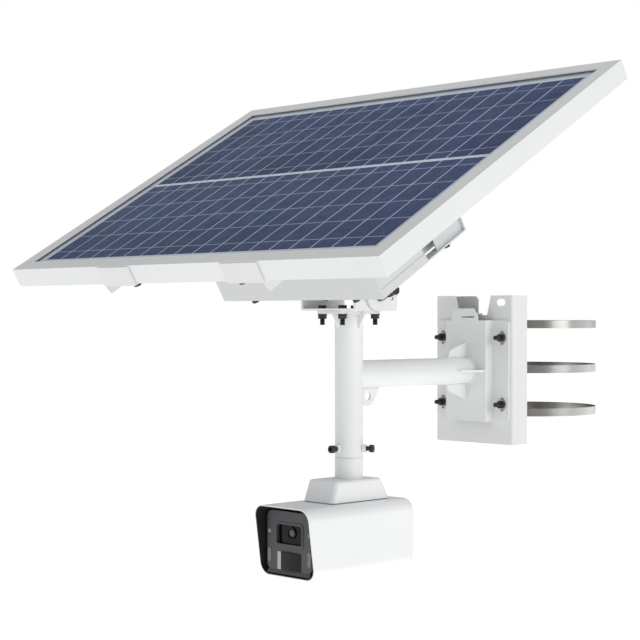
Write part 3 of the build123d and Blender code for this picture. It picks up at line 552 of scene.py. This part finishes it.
# screws and hatch on the camera head
screwSizes = {"radius": 0.0042, "height": 0.0016, "recess": 0.0021, "recessDepth": 0.0011, "edge": 0.0003,
              "capX": 0.046, "capZ": 0.040, "hatchY": 0.030}
hatchSizes = {"width": 0.040, "length": 0.078, "height": 0.0016, "middleY": -0.395, "sunk": 0.0003,
              "border": 0.004, "step": 0.0005, "edge": 0.0004}


def capScrew(name):
    bpy.ops.mesh.primitive_cylinder_add(vertices=36, radius=screwSizes["radius"], depth=screwSizes["height"])
    screw = newest(name)
    inset = screwSizes["radius"] - screwSizes["recess"]
    editFaces(screw, lambda centre, normal: normal.z > 0.9,
              lambda: bpy.ops.mesh.inset(thickness=inset),
              lambda: bpy.ops.mesh.extrude_region_move(
                  TRANSFORM_OT_translate={"value": (0, 0, -screwSizes["recessDepth"])}))
    bevelled(screw, screwSizes["edge"])
    return screw


screwMaster = capScrew("screw_master")
capLow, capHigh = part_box("rear_cap")
headMiddle = (capLow[2] + capHigh[2]) / 2
for number, (side, up) in enumerate(corners):
    place = (side * screwSizes["capX"], capHigh[1], headMiddle + up * screwSizes["capZ"])
    backward = Matrix.Translation(place) @ Matrix.Rotation(math.radians(-90), 4, "X")
    settle(copyTo(screwMaster, f"cap_screw_{number}", backward), "camera", fastener)
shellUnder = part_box("camera_shell")[0][2]
for number, ahead in enumerate((-1, 1)):
    place = (0, hatchSizes["middleY"] + ahead * screwSizes["hatchY"], shellUnder)
    below = Matrix.Translation(place) @ halfTurn
    settle(copyTo(screwMaster, f"hatch_screw_{number}", below), "camera", fastener)
bpy.data.objects.remove(screwMaster)

bpy.ops.mesh.primitive_cube_add(size=1, location=(0, hatchSizes["middleY"], shellUnder + hatchSizes["sunk"]))
hatch = newest("card_hatch")
hatch.scale = (hatchSizes["width"], hatchSizes["length"], hatchSizes["height"])
bpy.ops.object.transform_apply(location=True, rotation=True, scale=True)
editFaces(hatch, lambda centre, normal: normal.z < -0.9,
          lambda: bpy.ops.mesh.inset(thickness=hatchSizes["border"]),
          lambda: bpy.ops.mesh.extrude_region_move(
              TRANSFORM_OT_translate={"value": (0, 0, hatchSizes["step"])}))
bevelled(hatch, hatchSizes["edge"])
settle(hatch, "camera", housingPaint)
print("camera head")

# lens rings in the barrel's mouth
ringSizes = [{"outer": 0.0104, "inner": 0.0088, "deep": 0.0008, "finish": bezel},
             {"outer": 0.0086, "inner": 0.0078, "deep": 0.0022, "finish": windowBlack}]
ringFlatness = 0.5
lensMiddle = middleOf("lens_glass")
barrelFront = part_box("lens_barrel")[0][1]
for number, sizes in enumerate(ringSizes):
    outer, inner = sizes["outer"], sizes["inner"]
    bpy.ops.mesh.primitive_torus_add(major_radius=(outer + inner) / 2, minor_radius=(outer - inner) / 2,
                                     major_segments=72, minor_segments=12)
    ring = newest(f"lens_ring_{number}")
    ring.scale = (1, 1, ringFlatness)
    bpy.ops.object.transform_apply(location=True, rotation=True, scale=True)
    ring.matrix_world = Matrix.Translation((0, barrelFront + sizes["deep"], lensMiddle.z)) @ quarterTurn
    settle(ring, "camera", sizes["finish"])
print("lens")

# free tails of the bands, at the buckles
tailSizes = {"radius": 0.1268, "thickness": 0.0009, "stub": 0.0006, "narrower": 0.0006,
             "from": 186, "sweep": 20, "steps": 14}    # degrees from +X round the pole, swept clockwise


def bandTail(name, node):
    low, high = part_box(node)
    start = math.radians(tailSizes["from"])
    startX = tailSizes["radius"] * math.cos(start)
    startY = bandSizes["poleY"] + tailSizes["radius"] * math.sin(start)
    bpy.ops.mesh.primitive_cube_add(size=1, location=(startX, startY, (low[2] + high[2]) / 2))
    tail = newest(name)
    tail.scale = (tailSizes["thickness"], tailSizes["stub"], high[2] - low[2] - tailSizes["narrower"])
    tail.rotation_euler = (0, 0, start)
    bpy.ops.object.transform_apply(location=True, rotation=True, scale=True)
    forward = Vector((math.sin(start), -math.cos(start), 0))
    sweep = math.radians(tailSizes["sweep"])
    editFaces(tail, lambda centre, normal: normal.dot(-forward) > 0.9,
              lambda: bpy.ops.mesh.spin(steps=tailSizes["steps"], angle=sweep,
                                        center=(0, bandSizes["poleY"], 0), axis=(0, 0, 1)))
    pick(tail)
    bpy.ops.object.mode_set(mode="EDIT")
    bpy.ops.mesh.select_all(action="SELECT")
    bpy.ops.mesh.remove_doubles(threshold=0.00001)
    bpy.ops.mesh.normals_make_consistent(inside=False)
    bpy.ops.object.mode_set(mode="OBJECT")
    return settle(tail, "wall_mount", band)


for name in ("strap_top", "strap_middle", "strap_bottom"):
    bandTail(name + "_tail", name)
print("bands")

# floor, lights and camera
stageSizes = {"floor": -1.15, "reach": 120.0, "floorGlow": 0.66, "worldLight": 0.45, "worldSeen": 1.0}
deselectAll()
bpy.ops.mesh.primitive_plane_add(size=2 * stageSizes["reach"], location=(0, 0, stageSizes["floor"]))
floor = newest("floor")
floorFinish = Sheet("pale floor")
floorTone = floorFinish.blendColours(floorFinish.noise(0.4, 2.0), (0.90, 0.90, 0.90), (0.92, 0.92, 0.92))
floor.data.materials.append(floorFinish.finish(colour=floorTone, roughness=0.9, glow=(1.0, 1.0, 1.0),
                                               glowStrength=stageSizes["floorGlow"]))

world = bpy.data.worlds.new("studio")
bpy.context.scene.world = world
world.use_nodes = True
background = world.node_tree.nodes["Background"]
background.inputs[0].default_value = (1.0, 1.0, 1.0, 1)
seen = world.node_tree.nodes.new("ShaderNodeLightPath")
strength = world.node_tree.nodes.new("ShaderNodeMapRange")    # white behind the object, softer as a light
strength.inputs["To Min"].default_value = stageSizes["worldLight"]
strength.inputs["To Max"].default_value = stageSizes["worldSeen"]
world.node_tree.links.new(seen.outputs["Is Camera Ray"], strength.inputs["Value"])
world.node_tree.links.new(strength.outputs["Result"], background.inputs[1])


softBoxes = {
    "right key": {"place": (3.4, 0.2, 1.0), "side": 2.0, "power": 35},
    "front fill": {"place": (-0.6, -3.6, 0.6), "side": 1.6, "power": 3},
    "top": {"place": (0.3, -0.3, 3.2), "side": 2.4, "power": 20},
}
objectMiddle = Vector((0.0, -0.3, 0.1))
for name, box in softBoxes.items():
    light = bpy.data.lights.new(name, "AREA")
    light.shape = "RECTANGLE"
    light.size = box["side"]
    light.size_y = box["side"]
    light.energy = box["power"]
    lamp = bpy.data.objects.new(name, light)
    bpy.context.collection.objects.link(lamp)
    lamp.location = box["place"]
    lamp.rotation_euler = (objectMiddle - Vector(box["place"])).to_track_quat("-Z", "Y").to_euler()

viewSizes = {"lens": 90.17, "sensor": 36.0, "clipEnd": 400, "place": (1.909, -2.284, 0.0989),
             "tilt": 90 - 0.137, "heading": 45.81}    # degrees
cameraData = bpy.data.cameras.new("view")
cameraData.lens = viewSizes["lens"]
cameraData.sensor_width = viewSizes["sensor"]
cameraData.clip_end = viewSizes["clipEnd"]
view = bpy.data.objects.new("view", cameraData)
bpy.context.collection.objects.link(view)
view.location = viewSizes["place"]
view.rotation_euler = (math.radians(viewSizes["tilt"]), 0, math.radians(viewSizes["heading"]))
bpy.context.scene.camera = view
bpy.context.scene.view_settings.view_transform = "Standard"

print("stage")
